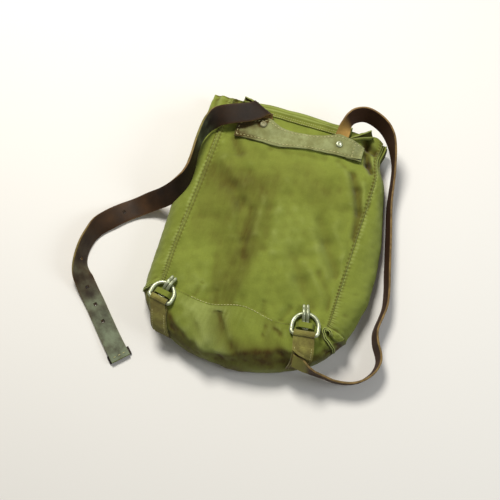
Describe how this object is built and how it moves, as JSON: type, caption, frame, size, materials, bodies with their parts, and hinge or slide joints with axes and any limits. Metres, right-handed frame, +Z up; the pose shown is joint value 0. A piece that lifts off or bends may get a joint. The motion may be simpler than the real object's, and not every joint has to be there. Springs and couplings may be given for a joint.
{
  "type": "backpack",
  "caption": "Small soft canvas backpack lying flap down, with a web yoke, leather shoulder straps, and corner rings on web tabs held by wire hooks.",
  "frame": {"origin": "on the floor under the middle of the back panel, on the flat underside of the turned-under flap", "axes": "+X across the pack towards the right strap, +Y towards the mouth and yoke, +Z up out of the back panel"},
  "size_m": [0.4151, 0.4203, 0.0659],
  "materials": {
    "canvas": "matte olive green cotton canvas",
    "yoke_web": "matte grey-green cotton web",
    "tab_web": "matte olive brown cotton web",
    "leather": "dark brown, worn, dull sheen",
    "grey_metal": "dull pale grey plated steel"
  },
  "bodies": {
    "root": {"gusset_left": "canvas", "bottom_panel": "canvas", "gusset_right": "canvas", "back_panel": "canvas", "front_panel": "canvas", "flap": "canvas", "hook_loop_left": "canvas", "hook_loop_right": "canvas", "corner_ear_left": "canvas", "corner_ear_right": "canvas", "yoke": "yoke_web", "tab_left": "tab_web", "tab_right": "tab_web", "strap_left": "leather", "strap_right": "leather", "strap_stop": "leather", "d_ring_left": "grey_metal", "d_ring_right": "grey_metal", "hook_left": "grey_metal", "hook_right": "grey_metal", "rivet_left": "grey_metal", "rivet_right": "grey_metal"}
  },
  "joints": []
}
